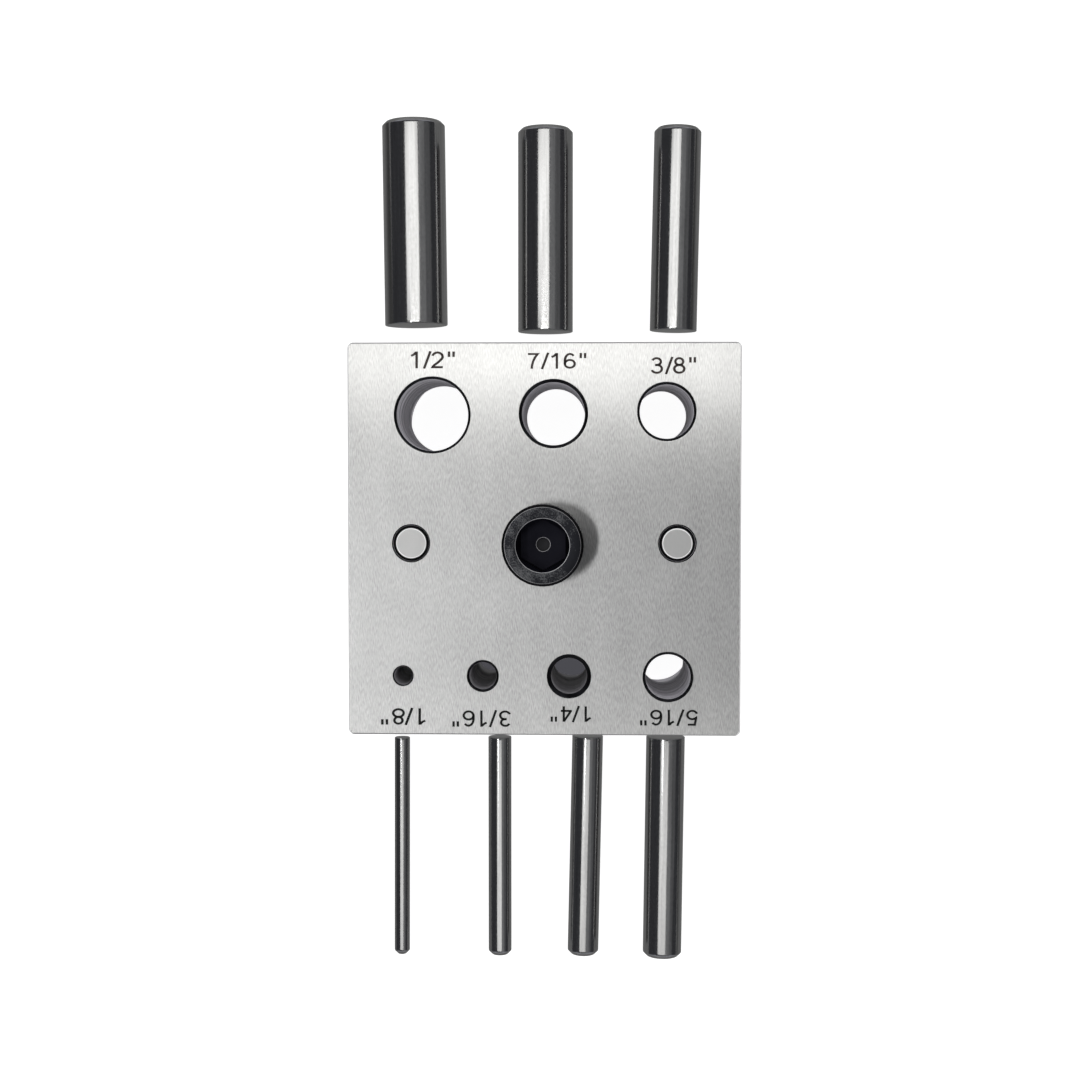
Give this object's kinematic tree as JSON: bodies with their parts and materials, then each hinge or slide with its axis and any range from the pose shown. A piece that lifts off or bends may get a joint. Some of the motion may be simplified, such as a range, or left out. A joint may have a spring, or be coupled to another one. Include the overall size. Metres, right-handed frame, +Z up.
{
  "type": "disc cutter",
  "caption": "Block of two steel plates with round bores, guide pins and a central socket screw, and loose round punches that cut discs from sheet metal.",
  "frame": {"origin": "on the bench, in the middle of the block and punches as they lie; the middle of the block is 2.85 mm from it along +Y", "axes": "+Z up, +Y towards the row of large bores, +X to the right of that row seen from above"},
  "size_m": [0.07, 0.1714, 0.0595],
  "materials": {
    "plate_steel": "tool steel, brushed along Y, with dark etched size marks",
    "pin_steel": "hardened steel dowel, ground",
    "screw_steel": "alloy steel, black oxide, scuffed, knurled head",
    "spring_steel": "drawn spring wire",
    "punch_steel": "hardened steel, ground and polished"
  },
  "bodies": {
    "base": {"die_plate": "plate_steel", "guide_pin_left": "pin_steel", "guide_pin_right": "pin_steel", "lift_spring": "spring_steel"},
    "upper": {"top_plate": "plate_steel"},
    "screw": {"clamp_screw": "screw_steel"},
    "punch_1_2": {"punch_1_2": "punch_steel"},
    "punch_7_16": {"punch_7_16": "punch_steel"},
    "punch_3_8": {"punch_3_8": "punch_steel"},
    "punch_5_16": {"punch_5_16": "punch_steel"},
    "punch_1_4": {"punch_1_4": "punch_steel"},
    "punch_3_16": {"punch_3_16": "punch_steel"},
    "punch_1_8": {"punch_1_8": "punch_steel"}
  },
  "joints": [
    {"name": "top_plate_lift", "type": "slide", "parent": "base", "child": "upper", "axis": [0, 0, 1], "range_m": [0, 0.00635], "deforming": ["lift_spring"]},
    {"name": "clamp_screw_turn", "type": "hinge", "parent": "upper", "child": "screw", "pos_m": [0, 0.00215, 0.05], "axis": [0, 0, 1], "range_deg": [0, 1440.01]},
    {"name": "punch_1_2_lift", "type": "slide", "parent": "base", "child": "punch_1_2", "axis": [0, 0, 1], "range_m": [0, 0.06]},
    {"name": "punch_7_16_lift", "type": "slide", "parent": "base", "child": "punch_7_16", "axis": [0, 0, 1], "range_m": [0, 0.06]},
    {"name": "punch_3_8_lift", "type": "slide", "parent": "base", "child": "punch_3_8", "axis": [0, 0, 1], "range_m": [0, 0.06]},
    {"name": "punch_5_16_lift", "type": "slide", "parent": "base", "child": "punch_5_16", "axis": [0, 0, 1], "range_m": [0, 0.06]},
    {"name": "punch_1_4_lift", "type": "slide", "parent": "base", "child": "punch_1_4", "axis": [0, 0, 1], "range_m": [0, 0.06]},
    {"name": "punch_3_16_lift", "type": "slide", "parent": "base", "child": "punch_3_16", "axis": [0, 0, 1], "range_m": [0, 0.06]},
    {"name": "punch_1_8_lift", "type": "slide", "parent": "base", "child": "punch_1_8", "axis": [0, 0, 1], "range_m": [0, 0.06]}
  ],
  "couplings": [
    {"joint": "clamp_screw_turn", "follows": "top_plate_lift", "rad_per_m": 3957.9}
  ]
}
